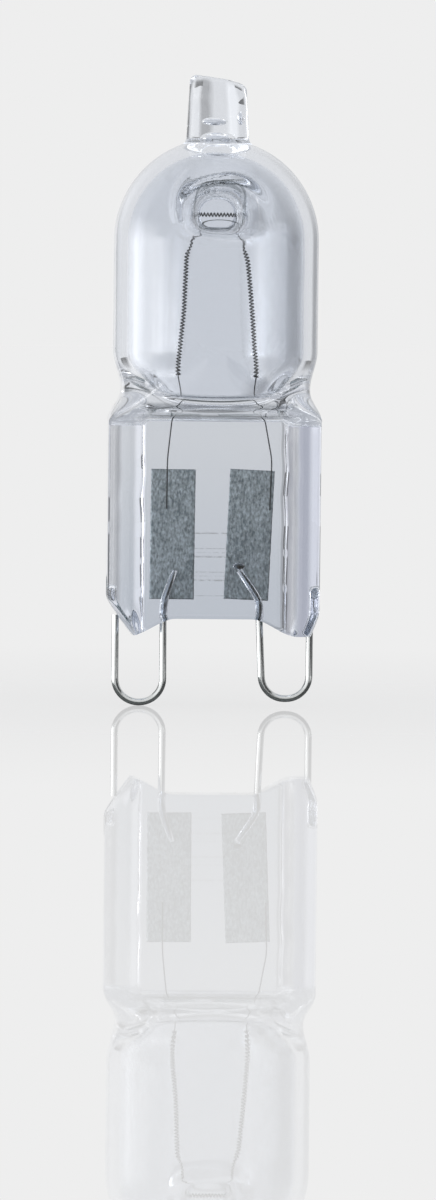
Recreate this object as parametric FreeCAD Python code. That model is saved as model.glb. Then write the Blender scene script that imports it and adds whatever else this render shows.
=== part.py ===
import FreeCAD, Part
import math
import os

# Halogen capsule bulb with wire-loop pins. Millimetres, +Z along the lamp's axis, tip up, X across the pinch.
# The origin lies on the axis, level with the lowest point of the pin loops.

Vector = FreeCAD.Vector

# Quartz tube and dome
tube_diameter = 14.0
tube_wall = 0.95
tube_length = 7.5

# Exhaust tip, sealed off on a slant, with the closed end of its bore inside
tip_diameter = 4.3
tip_top_diameter = 3.9
tip_height = 4.05
tip_slant = 10.0
tip_edge_bevel = 0.35
tip_root_flare = 0.45
tip_root_height = 0.6
bore_diameter = 2.3
bore_height = 2.9
bore_taper = 0.65

# Shoulder between the round tube and the flat pinch, with a waist
shoulder_height = 4.9
waist_width = 12.88
waist_height = 2.15
cavity_floor_height = 1.5
cavity_floor_width = 9.1
cavity_floor_depth = 0.7
shoulder_fullness = 2.6
cavity_fullness = 1.2

# Pinch: a bead down each side, a thinner web between them, an arched lower edge
pinch_height = 14.6
pinch_width = 14.58
pinch_ledge = 0.12
bead_width = 2.1
bead_thickness = 4.6
bead_round = 1.8
web_thickness = 3.0
web_edge_bevel = 0.3
web_top_height = 0.9
arch_width = 5.2
arch_rise = 1.15
arch_round = 1.2
foot_width_left = 0.45
foot_width_right = 1.1
foot_round = 0.3
corner_height_left = 2.6
corner_height_right = 4.3
corner_taper_left = 1.7
corner_taper_right = 0.35
corner_round_left = 0.4
corner_round_right = 0.7

# Side grooves that take the free ends of the pin loops
groove_width = 0.9
groove_depth = 0.9
groove_height = 3.6

# Dents pressed in the front and back of the dome, which grip the filament between their noses
dent_rise = 2.25
dent_mouth_diameter = 6.8
dent_nose_width = 3.5
dent_nose_height = 3.4
dent_corner_round = 1.3
dent_wall = 0.5
dent_floor = 0.7

# Tungsten filament: a fine coil, drawn as the round body that its turns make up, and straight tails
coil_diameter = 0.3
tail_diameter = 0.12
grip_drop = 0.48
grip_half_left = 1.6
grip_half_right = 1.68
neck_drop = 2.4
step_drop = 3.7
step_out_left = 0.42
step_out_right = 0.5
leg_foot_left = 2.57
leg_foot_right = 2.94
leg_foot_rise = 1.65

# Molybdenum sealing foils
foil_width = 3.05
foil_height = 8.9
foil_thickness = 0.05
foil_rise = 2.45
foil_offset_left = 2.82
foil_offset_right = 2.44
foil_tilt_left = 0.3
foil_tilt_right = 2.4
tail_inset_left = 1.1
tail_inset_right = 0.16
tail_overlap = 2.7

# Leads: each one wire from the foil, out of the pinch and round a pin loop
lead_diameter = 0.48
loop_drop = 4.86
loop_roundness = 0.49
loop_lift_right = 0.31
inner_leg_left = 3.36
inner_leg_right = 3.45
entry_left = 3.4
entry_right = 3.13
lead_bend_rise_left = 2.2
lead_bend_rise_right = 2.45
weld_inset_left = 1.38
weld_inset_right = 0.98
weld_height = 1.95
free_end_rise_left = 1.34
free_end_rise_right = 2.0

# Clearances
weld_gap = 0.01
lead_gap = 0.08
tail_gap = 0.03
grip_gap = 0.02
groove_gap = 0.03

# Levels and radii that follow from the sizes above
tube_radius = tube_diameter / 2
cavity_radius = tube_radius - tube_wall
corner_level = loop_drop
pinch_top = corner_level + pinch_height
tube_bottom = pinch_top + shoulder_height
dome_level = tube_bottom + tube_length
cavity_floor = pinch_top + cavity_floor_height
dent_level = dome_level + dent_rise
grip_level = dent_level - grip_drop
leg_foot = cavity_floor + leg_foot_rise
coil_radius = coil_diameter / 2
tail_radius = tail_diameter / 2
lead_radius = lead_diameter / 2
pinch_half = pinch_width / 2
outer_leg = pinch_half - groove_depth + groove_gap + lead_radius
foil_front = lead_radius + weld_gap
foil_bottom = corner_level + foil_rise
nose_face = coil_radius + grip_gap

CUT_MARGIN = 1.0
ROUND = math.sqrt(0.5)
SHOULDER_BANDS = 7
CAVITY_BANDS = 5
CAVITY_DOME_BANDS = 7
ROD_SIDES = 12
QUARTERS = ((1, 1), (-1, 1), (-1, -1), (1, -1))
MITRED = 1


def smooth_step(t):
    return t * t * (3 - 2 * t)


def between(start, end, t):
    return start + (end - start) * t


def quarter(right, front, level, half_width, half_depth, fullness):
    """Poles and weights of one rounded corner of a level section."""
    side = Vector(right * half_width, 0, level)
    corner = Vector(right * half_width, front * half_depth, level)
    face = Vector(0, front * half_depth, level)
    return [side, corner, face], [1, fullness, 1]


def level_section(level, half_width, half_depth, fullness):
    """Level face with four rounded corners, which fill out as the fullness rises above ROUND, an ellipse's."""
    edges = []
    for right, front in QUARTERS:
        poles, weights = quarter(right, front, level, half_width, half_depth, fullness)
        curve = Part.BezierCurve()
        curve.setPoles(poles)
        for i, weight in enumerate(weights):
            curve.setWeight(i + 1, weight)
        edges.append(curve.toShape())
    return Part.Face(Part.Wire(Part.__sortEdges__(edges)))


def skin(rows):
    """Upright solid of narrow ruled bands between rows of level, half width, half depth and fullness."""
    faces = [level_section(*rows[0]), level_section(*rows[-1])]
    for right, front in QUARTERS:
        corners = [quarter(right, front, *row) for row in rows]
        for (lower, lower_weights), (upper, upper_weights) in zip(corners, corners[1:]):
            band = Part.BSplineSurface()
            weights = [lower_weights, upper_weights]
            band.buildFromPolesMultsKnots([lower, upper], [2, 2], [3, 3], [0, 1], [0, 1], False, False, 1, 2, weights)
            faces.append(band.toShape())
    shell = Part.Shell(faces)
    shell.sewShape()
    return Part.Solid(shell)


def rounded_path(points, radii, closed=False):
    """Wire of straight runs through the points, each corner rounded by its own radius."""
    count = len(points)
    starts, ends, arcs = [], [], []
    for i, point in enumerate(points):
        if radii[i] == 0:
            starts.append(point)
            ends.append(point)
            arcs.append(None)
            continue
        back = (points[i - 1] - point).normalize()
        ahead = (points[(i + 1) % count] - point).normalize()
        half_angle = back.getAngle(ahead) / 2
        setback = radii[i] / math.tan(half_angle)
        middle = (back + ahead).normalize() * (radii[i] / math.sin(half_angle) - radii[i])
        starts.append(point + back * setback)
        ends.append(point + ahead * setback)
        arcs.append(Part.Arc(starts[i], point + middle, ends[i]).toShape())
    edges = []
    for i in range(count):
        if arcs[i] is not None:
            edges.append(arcs[i])
        if i + 1 < count or closed:
            edges.append(Part.LineSegment(ends[i], starts[(i + 1) % count]).toShape())
    return Part.Wire(edges)


def rod(points, radius, radii):
    """Round rod along the points, bent to the radii at its corners and mitred where a radius is 0."""
    section = Part.Wire([Part.Circle(points[0], points[1] - points[0], radius).toShape()])
    return rounded_path(points, radii).makePipeShell([section], True, True, MITRED)


def fine_rod(points, radius):
    """Many-sided thin rod along the points, mitred at the corners."""
    across = (points[1] - points[0]).cross(Vector(0, 1, 0)).normalize() * radius
    back = across.cross(points[1] - points[0]).normalize() * radius
    turns = [2 * math.pi * i / ROD_SIDES for i in range(ROD_SIDES + 1)]
    section = Part.makePolygon([points[0] + across * math.cos(a) + back * math.sin(a) for a in turns])
    return Part.makePolygon(points).makePipeShell([section], True, True, MITRED)


def dome_points(radius, end_radius, count):
    """Evenly spaced points of the dome's profile, from its equator up to where it has the end radius."""
    turn = math.acos(end_radius / radius)
    angles = [turn * i / (count - 1) for i in range(count)]
    return [Vector(radius * math.cos(a), 0, dome_level + radius * math.sin(a)) for a in angles]


def spun(edges, top, bottom):
    """Solid of revolution about the axis from an open profile that starts at the bottom and ends at the top."""
    first, last = edges[0].Vertexes[0].Point, edges[-1].Vertexes[-1].Point
    closing = [
        Part.LineSegment(last, Vector(0, 0, top)).toShape() if last.x > 0 else None,
        Part.LineSegment(Vector(0, 0, top), Vector(0, 0, bottom)).toShape(),
        Part.LineSegment(Vector(0, 0, bottom), first).toShape(),
    ]
    profile = Part.Wire(edges + [edge for edge in closing if edge])
    return Part.Face(profile).revolve(Vector(0, 0, 0), Vector(0, 0, 1), 360)


def dome_and_tip():
    apex = dome_level + tube_radius
    tip_radius = tip_diameter / 2
    top = apex + tip_height + tip_radius
    ball = Part.Arc(*dome_points(tube_radius, tip_radius + tip_root_flare, 3)).toShape()
    root = ball.Vertexes[-1].Point
    on_tip = Vector(tip_radius, 0, root.z + tip_root_height)
    edges = [
        Part.LineSegment(Vector(tube_radius, 0, tube_bottom), Vector(tube_radius, 0, dome_level)).toShape(),
        ball,
        Part.LineSegment(root, on_tip).toShape(),
        Part.LineSegment(on_tip, Vector(tip_top_diameter / 2, 0, top)).toShape(),
    ]
    body = spun(edges, top, tube_bottom)
    seal_centre = Vector(0, 0, apex + tip_height)
    lid = Part.makeBox(
        2 * tip_diameter, 2 * tip_diameter, 2 * tip_diameter, seal_centre - Vector(tip_diameter, tip_diameter, 0)
    )
    lid.rotate(seal_centre, Vector(0, 1, 0), tip_slant)
    body = body.cut(lid)
    rim = [edge for edge in body.Edges if edge.CenterOfMass.z > apex + tip_height / 2 and len(edge.Vertexes) == 1]
    return body.makeChamfer(tip_edge_bevel, rim)


def dome_cavity():
    bore_radius = bore_diameter / 2
    bore_end = dome_level + cavity_radius + bore_height
    profile = [Vector(cavity_radius, 0, tube_bottom)]
    profile += dome_points(cavity_radius, bore_radius, CAVITY_DOME_BANDS + 1)
    profile += [Vector(bore_radius, 0, bore_end - bore_taper), Vector(bore_radius - bore_taper, 0, bore_end)]
    edges = [Part.LineSegment(a, b).toShape() for a, b in zip(profile, profile[1:])]
    return spun(edges, bore_end, tube_bottom)


def shoulder():
    """Outer shoulder: spread and flattened over the pinch, drawn in at the waist, round at the tube."""
    foot_width = pinch_half - pinch_ledge
    foot_depth = bead_thickness / 2 - pinch_ledge
    waist_share = waist_height / shoulder_height
    rows = []
    for i in range(SHOULDER_BANDS + 1):
        share = i / SHOULDER_BANDS
        if share < waist_share:
            half_width = between(waist_width / 2, foot_width, smooth_step(1 - share / waist_share))
        else:
            half_width = between(waist_width / 2, tube_radius, smooth_step((share - waist_share) / (1 - waist_share)))
        half_depth = between(foot_depth, tube_radius, smooth_step(share**1.35))
        fullness = between(ROUND, shoulder_fullness, (1 - share) ** 2)
        rows.append((between(pinch_top, tube_bottom, share), half_width, half_depth, fullness))
    return skin(rows)


def shoulder_cavity():
    """The cavity closes from the round tube to a narrow slot over the pinch."""
    rows = []
    for i in range(CAVITY_BANDS + 1):
        share = i / CAVITY_BANDS
        opening = math.sin(share * math.pi / 2)
        half_width = between(cavity_floor_width / 2, cavity_radius, opening)
        half_depth = between(cavity_floor_depth / 2, cavity_radius, opening**1.15)
        fullness = between(cavity_fullness, ROUND, opening)
        rows.append((between(cavity_floor, tube_bottom, share), half_width, half_depth, fullness))
    return skin(rows)


def pinch():
    """The pressed seal: a column with rounded sides, trimmed to the arched lower edge and grooved at both sides."""
    foot = Vector(-pinch_half, -bead_thickness / 2, corner_level - CUT_MARGIN)
    column = Part.makeBox(pinch_width, bead_thickness, pinch_height + CUT_MARGIN, foot)
    uprights = [edge for edge in column.Edges if edge.BoundBox.ZLength > pinch_height]
    column = column.makeFillet(bead_round, uprights)
    arch_level = corner_level + arch_rise
    left_corner = corner_taper_left - pinch_half
    right_corner = pinch_half - corner_taper_right
    outline = [
        (pinch_half, pinch_top, 0),
        (pinch_half, corner_level + corner_height_right, 0),
        (right_corner, corner_level, corner_round_right),
        (right_corner - foot_width_right, corner_level, foot_round),
        (arch_width / 2, arch_level, arch_round),
        (-arch_width / 2, arch_level, arch_round),
        (left_corner + foot_width_left, corner_level, foot_round),
        (left_corner, corner_level, corner_round_left),
        (-pinch_half, corner_level + corner_height_left, 0),
        (-pinch_half, pinch_top, 0),
    ]
    points = [Vector(x, -bead_thickness, z) for x, z, _ in outline]
    silhouette = Part.Face(rounded_path(points, [radius for _, _, radius in outline], closed=True))
    blade = column.common(silhouette.extrude(Vector(0, 2 * bead_thickness, 0)))
    for side in (-1, 1):
        blade = blade.cut(side_groove(side))
    return blade


def side_groove(side):
    """Slot with a round top end, open at the pinch's side and foot."""
    radius = groove_width / 2
    floor = side * (pinch_half - groove_depth)
    top = corner_level + groove_height
    bottom = corner_level - CUT_MARGIN
    edges = [
        Part.LineSegment(Vector(floor, -radius, bottom), Vector(floor, -radius, top - radius)).toShape(),
        Part.Arc(
            Vector(floor, -radius, top - radius), Vector(floor, 0, top), Vector(floor, radius, top - radius)
        ).toShape(),
        Part.LineSegment(Vector(floor, radius, top - radius), Vector(floor, radius, bottom)).toShape(),
        Part.LineSegment(Vector(floor, radius, bottom), Vector(floor, -radius, bottom)).toShape(),
    ]
    return Part.Face(Part.Wire(edges)).extrude(Vector(side * (groove_depth + CUT_MARGIN), 0, 0))


def web_press(side):
    """What the jaw presses out of one face of the pinch, down to the web."""
    half = pinch_half - bead_width
    slope = (bead_thickness - web_thickness) / 2
    face = web_thickness / 2
    top = pinch_top + web_top_height
    outline = [
        (half + slope, bead_thickness),
        (half + slope / 2, face + slope),
        (half, face),
        (-half, face),
        (-half - slope / 2, face + slope),
        (-half - slope, bead_thickness),
    ]
    points = [Vector(x, side * y, corner_level - CUT_MARGIN) for x, y in outline]
    section = Part.Face(Part.makePolygon(points + points[:1]))
    press = section.extrude(Vector(0, 0, top - corner_level + CUT_MARGIN))
    nose = [edge for edge in press.Edges if edge.BoundBox.ZMin > top - weld_gap and edge.BoundBox.XLength > half]
    inner = [edge for edge in nose if abs(edge.CenterOfMass.y) < face + slope / 2]
    return press.makeChamfer(web_edge_bevel, inner)


def dent(side, start, end, setback):
    """One dent's body from its arched nose out past the wall, drawn in by a setback."""
    draft = (dent_mouth_diameter - dent_nose_width) / 2 / (tube_radius - nose_face)
    widening = draft * (end - start)
    radius = dent_nose_width / 2 - setback
    crown_level = dent_level + (dent_nose_height - dent_nose_width) / 2
    foot_level = dent_level - dent_nose_height / 2 + setback
    crown = Part.makeCone(
        radius, radius + widening, end - start, Vector(0, side * start, crown_level), Vector(0, side, 0)
    )
    base = Part.makeWedge(
        -radius, start, foot_level, foot_level - widening, -radius - widening,
        radius, end, crown_level, crown_level, radius + widening,
    )
    corners = [edge for edge in base.Edges if edge.CenterOfMass.z < foot_level and edge.BoundBox.YLength > end / 2]
    base = base.makeFillet(dent_corner_round - setback, corners)
    if side < 0:
        base.rotate(Vector(0, 0, 0), Vector(0, 0, 1), 180)
    return crown.fuse(base).removeSplitter()


def dented(body, start, end, setback):
    """Ball-topped body with the front and back dents taken out of it."""
    for side in (-1, 1):
        body = body.cut(dent(side, start, end, setback))
    return body


def foil(side):
    offset = -foil_offset_left if side < 0 else foil_offset_right
    tilt = foil_tilt_left if side < 0 else foil_tilt_right
    corner = Vector(offset - foil_width / 2, foil_front, foil_bottom)
    sheet = Part.makeBox(foil_width, foil_thickness, foil_height, corner)
    sheet.rotate(Vector(offset, 0, foil_bottom + foil_height / 2), Vector(0, 1, 0), tilt)
    return sheet


def foil_point(side, inset, height):
    """Point on a foil, by its inset from the foil's outer edge and its height above the foil's lower edge."""
    offset = -foil_offset_left if side < 0 else foil_offset_right
    tilt = math.radians(foil_tilt_left if side < 0 else foil_tilt_right)
    across = side * (foil_width / 2 - inset)
    above = height - foil_height / 2
    x = offset + across * math.cos(tilt) + above * math.sin(tilt)
    z = foil_bottom + foil_height / 2 + above * math.cos(tilt) - across * math.sin(tilt)
    return x, z


def lead_points(side):
    """Centre line of a lead, from its weld on the foil to its free end, and the radius at each corner."""
    lift = 0 if side < 0 else loop_lift_right
    inner = inner_leg_left if side < 0 else inner_leg_right
    entry = entry_left if side < 0 else entry_right
    bend_rise = lead_bend_rise_left if side < 0 else lead_bend_rise_right
    inset = foil_width - weld_inset_left if side < 0 else foil_width - weld_inset_right
    free_end = free_end_rise_left if side < 0 else free_end_rise_right
    loop_level = lead_radius + lift
    weld_x, weld_z = foil_point(side, inset, weld_height)
    loop_round = (outer_leg - inner) * loop_roundness
    corners = [
        (weld_x, weld_z, 0),
        (side * entry, corner_level + bend_rise, 0),
        (side * inner, loop_level, loop_round),
        (side * outer_leg, loop_level, loop_round),
        (side * outer_leg, corner_level + free_end, 0),
    ]
    return [Vector(x, 0, z) for x, z, _ in corners], [radius for _, _, radius in corners]


def lead(side):
    points, radii = lead_points(side)
    return rod(points, lead_radius, radii)


def lead_channel(side):
    """The narrow hollow that stays round a lead in the pinch."""
    points, _ = lead_points(side)
    past_weld = points[0] + (points[0] - points[1]).normalize() * lead_gap
    leg = points[2] - points[1]
    below = points[1] + leg * ((points[1].z - corner_level) / -leg.z)
    return fine_rod([past_weld, points[1], below], lead_radius + lead_gap)


def coil_points():
    """Centre line of the coil from the left foot, up, across between the dents and down to the right foot."""
    left_neck, right_neck = -grip_half_left, grip_half_right
    corners = [
        (-leg_foot_left, leg_foot),
        (left_neck - step_out_left, dent_level - step_drop),
        (left_neck, dent_level - neck_drop),
        (left_neck, grip_level),
        (right_neck, grip_level),
        (right_neck, dent_level - neck_drop),
        (right_neck + step_out_right, dent_level - step_drop),
        (leg_foot_right, leg_foot),
    ]
    return [Vector(x, 0, z) for x, z in corners]


def tail_points(side):
    """Centre line of a tail, from inside the coil's foot to its weld on the foil."""
    foot = coil_points()[0 if side < 0 else -1]
    inset = tail_inset_left if side < 0 else tail_inset_right
    behind = foil_front - weld_gap - tail_radius
    entry_x, entry_z = foil_point(side, inset, foil_height)
    end_x, end_z = foil_point(side, inset, foil_height - tail_overlap)
    return [
        foot + Vector(0, 0, coil_radius),
        Vector(foot.x, 0, cavity_floor),
        Vector(entry_x, behind, between(entry_z, cavity_floor, 0.2)),
        Vector(end_x, behind, end_z),
    ]


def filament():
    tails = [fine_rod(tail_points(side), tail_radius) for side in (-1, 1)]
    return fine_rod(coil_points(), coil_radius).fuse(tails).removeSplitter()


def tail_channel(side):
    points = tail_points(side)
    last = points[-1] + (points[-1] - points[-2]).normalize() * tail_gap
    return fine_rod(points[:-1] + [last], tail_radius + tail_gap)


def quartz_capsule():
    top = dented(dome_and_tip(), nose_face + dent_floor, tube_radius + CUT_MARGIN, dent_wall)
    body = top.fuse([shoulder(), pinch()]).removeSplitter()
    hollow = dented(dome_cavity(), nose_face, tube_radius, 0).fuse(shoulder_cavity()).removeSplitter()
    for side in (-1, 1):
        body = body.cut(web_press(side))
    body = body.cut(hollow)
    for side in (-1, 1):
        body = body.cut([lead_channel(side), tail_channel(side), foil(side)])
    return body


def main():
    pieces = {"quartz_capsule": quartz_capsule(), "filament": filament()}
    for side, name in ((-1, "left"), (1, "right")):
        pieces["foil_" + name] = foil(side)
        pieces["lead_" + name] = lead(side)
    os.makedirs("parts", exist_ok=True)
    for name, shape in pieces.items():
        solid = shape.Solids[0]
        print(name, len(shape.Solids), solid.isValid(), round(shape.Volume, 3), shape.BoundBox)
        solid.exportStep("parts/" + name + ".step")


main()
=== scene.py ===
"""Halogen capsule bulb: clear quartz envelope, coiled filament, sealing foils and wire-loop pins."""

import bisect
import math

import bmesh
import bpy
from bpy.props import FloatProperty, FloatVectorProperty, IntProperty, PointerProperty
from bpy.types import Operator, Panel, PropertyGroup
from mathutils import Matrix, Vector, noise


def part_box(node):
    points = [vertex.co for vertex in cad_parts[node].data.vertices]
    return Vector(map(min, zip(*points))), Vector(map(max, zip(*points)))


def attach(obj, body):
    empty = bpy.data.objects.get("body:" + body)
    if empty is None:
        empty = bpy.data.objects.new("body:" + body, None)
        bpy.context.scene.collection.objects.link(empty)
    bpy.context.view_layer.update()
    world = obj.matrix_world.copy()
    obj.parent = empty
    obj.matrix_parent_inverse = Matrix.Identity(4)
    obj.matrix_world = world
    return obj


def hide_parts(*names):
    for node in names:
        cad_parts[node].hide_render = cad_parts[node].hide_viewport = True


bl_info = {
    "name": "Halogen capsule bulb",
    "version": (1, 0, 0),
    "blender": (4, 5, 0),
    "location": "View3D > Sidebar > Bulb",
    "description": "Builds a clear halogen capsule bulb around its packed frame",
    "category": "Add Mesh",
}

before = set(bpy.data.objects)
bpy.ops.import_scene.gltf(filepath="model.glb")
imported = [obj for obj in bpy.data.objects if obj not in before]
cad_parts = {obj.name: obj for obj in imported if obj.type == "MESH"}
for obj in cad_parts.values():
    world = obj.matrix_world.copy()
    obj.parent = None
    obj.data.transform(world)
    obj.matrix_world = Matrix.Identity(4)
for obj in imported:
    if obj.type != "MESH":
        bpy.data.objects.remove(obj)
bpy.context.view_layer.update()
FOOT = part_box("quartz_capsule")[0].z
FOIL_BOXES = {name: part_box(name) for name in ("foil_left", "foil_right")}
MM = 0.001
ROOT = "root"
SIDES = (-1, 1)

# Places in the bulb's middle plane, across and up, in millimetres
LEFT_LEG = ((-2.64, 22.6), (-2.43, 24.4), (-2.18, 27.1), (-2.03, 30.9))
RIGHT_LEG = ((2.93, 22.6), (2.7, 24.4), (2.49, 27.1), (2.16, 30.55))
LEFT_NECK = ((-1.68, 31.6), (-1.62, 33.63))
RIGHT_NECK = ((1.78, 31.6), (1.72, 33.63))
NECK_LEVELS = (31.0, 33.4)
LEFT_LEAD = ((-2.69, 9.26), (-3.4, 7.06), (-3.39, 6.05))
RIGHT_LEAD = ((1.79, 9.28), (3.13, 7.31), (3.19, 6.05))
LEFT_TAIL = ((-3.22, 16.9), (-3.24, 13.5))
RIGHT_TAIL = ((3.94, 16.9), (3.83, 13.45))
NOSE_PLACE, NOSE_HALVES = (0.0, 34.15), (1.7, 1.68)
DIMPLE_PLACE, DIMPLE_HALVES = (0.2, 32.98), (1.2, 0.3)
BROW_PLACE, BROW_HALVES, BROW_INNER_HALVES = (0.0, 34.66), (1.6, 1.2), (1.53, 0.85)
SEAL_BUBBLE = ((1.75, 9.6), (0.4, 0.14, 0.27))
TIP_BUBBLE = ((-0.15, 39.95), (0.62, 0.42, 0.3))
TIP_CREASE = ((1.12, 40.2), (0.2, 0.3, 0.48))

# Forms of the glass: powers of its outlines, and angles of the hooked crease in degrees
ROUND_POWER = 2
PINCH_POWER = 6
SHOULDER_POWER = 2.3
BROW_POWER, LIP_POWER = 2.3, 3.4
DENT_FLARE = 1.8
DENT_EDGE_RIGHT, DENT_EDGE_LEFT = 3.4, 2.6
BORE_CAP = 0.6
CORNER_BEND = 1.15
SAG_MIDDLE = 0.7
HOOK_TURNS = (110, 165, 199, 207)

# Small sizes of the glass and wires
MERGE = 0.002 * MM
FLANK_OUT, FLANK_IN, FLANK_SPAN = 0.75 * MM, 0.45 * MM, 1.9 * MM
WEB_FADE = 0.2 * MM
LEFT_CORNER, RIGHT_CORNER = (1.75 * MM, 2.6 * MM), (0.6 * MM, 1.6 * MM)
ARCH_FOOT = 1.6 * MM
TIP_CALM, TIP_MELTED, TIP_SPAN = 0.8 * MM, 2.5 * MM, 1.1 * MM
DENT_REACH = 2.0 * MM
DENT_SLACK = 0.2 * MM
NOSE_SQUASH = 0.06 * MM
MOUTH_INSET, LIP_INSET = 0.15 * MM, 0.1 * MM
BORE_MARGIN = 0.5 * MM
FLOOR_SAG = 0.3 * MM
CHANNEL_SPAN, CHANNEL_WAVE = 0.6 * MM, 0.05 * MM
WIRE_BEND, COIL_BEND = 0.5 * MM, 0.35 * MM
NECK_SOFT = 0.2 * MM
TAIL_START, TAIL_OUT, TAIL_DROP = 0.5 * MM, 0.05 * MM, 0.6 * MM
GRIPPED = 0.88
FOIL_TILTS = {"foil_left": 0.3, "foil_right": 2.4}
CREASE_SPAN = 0.5 * MM
WAVE_SHIFTS = (Vector((9, 0, 0)), Vector((0, 7, 0)), Vector((0, 0, 5)))

# Marks in the glass, and its painted shade, highlights and glow, in millimetres: where each one is gone, and
# where it is full
IN_PINCH = (19.6, 19.2)
PRESS_LINES = ((10.21, 0.16, 1.0), (10.83, 0.06, 0.6), (10.56, 0.05, 0.45))
PRESS_REPEAT = (11.825, 10.215)
PRESS_MIDDLE, PRESS_SIDE, PRESS_FRONT = -0.2, (1.25, 1.15), (0.0, -1.0)
PRESS_TOP, PRESS_BOTTOM = (12.1, 11.9), (7.3, 7.5)
SEAL_RIGHT, SEAL_SIDE, SEAL_DEPTH, SEAL_TOP = (-0.02, 0.06), (0.9, 0.8), (0.9, 0.8), (9.8, 9.6)
BEAD_SHADE_LEFT, BEAD_SHADE_RIGHT = (5.6, 5.8), (6.6, 6.4)
BEAD_FLANK, BEAD_FLANK_WIDTH, BEAD_RIM = 5.2, (0.4, 0.2), (6.3, 6.7)
BROW_BOTTOM = (34.95, 35.15)
SHOULDER_LINES, SHOULDER_SIDE, SHOULDER_SAG = ((20.5, 0.28), (19.72, 0.2)), (5.5, 5.0), 6.0
FOOT_TINT, PINCH_TINT, TIP_GLOW = (18.0, 8.0), (20.8, 20.2), (37.8, 39.0)
MOST_MIRRORED = 4
MOST_PASSED = 12

# Stage, in metres
FLOOR_SIDE = 8.0
FLOOR_SKIN = 0.00001
FLOOR_DARK = (0.06, 0.07, 0.07)
FLOOR_DARK_REACH = (0.018, 0.012)
FLOOR_SHADE_REACH, FLOOR_SHADE = (0.02, 0.1), 0.2
MIRRORED_AGAIN = 0.9
ROOM_LIGHT = (0.55, 0.56, 0.58)
CARD_AIM = Vector((0, 0, 0.025))
CARD_DISTANCE, CARD_HEIGHT = 0.5, 0.01
CARD_FADE = 0.45
PIN_CARD_OUT, PIN_CARD_HEIGHT, PIN_CARD_FADE = 0.019, 0.02, 0.12
NEAREST_SEEN = 0.01


def placed(points, depth=0.0):
    """Points of the middle plane, or of a plane at some depth from it, in metres."""
    return [Vector((x * MM, depth, z * MM)) for x, z in points]


def length(name, description, millimetres):
    """Length property whose default is given in millimetres."""
    default = millimetres * MM
    return FloatProperty(name=name, description=description, default=default, unit="LENGTH", precision=5)


def share(name, description, value):
    return FloatProperty(name=name, description=description, default=value, min=0, max=1, subtype="FACTOR")


def angle(name, description, degrees):
    """Angle property whose default is given in degrees."""
    return FloatProperty(name=name, description=description, default=math.radians(degrees), subtype="ANGLE")


def brightness(name, description, value):
    return FloatProperty(name=name, description=description, default=value, min=0)


def colour(name, description, value):
    limits = {"size": 3, "min": 0, "max": 1}
    return FloatVectorProperty(name=name, description=description, default=value, subtype="COLOR", **limits)


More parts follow.
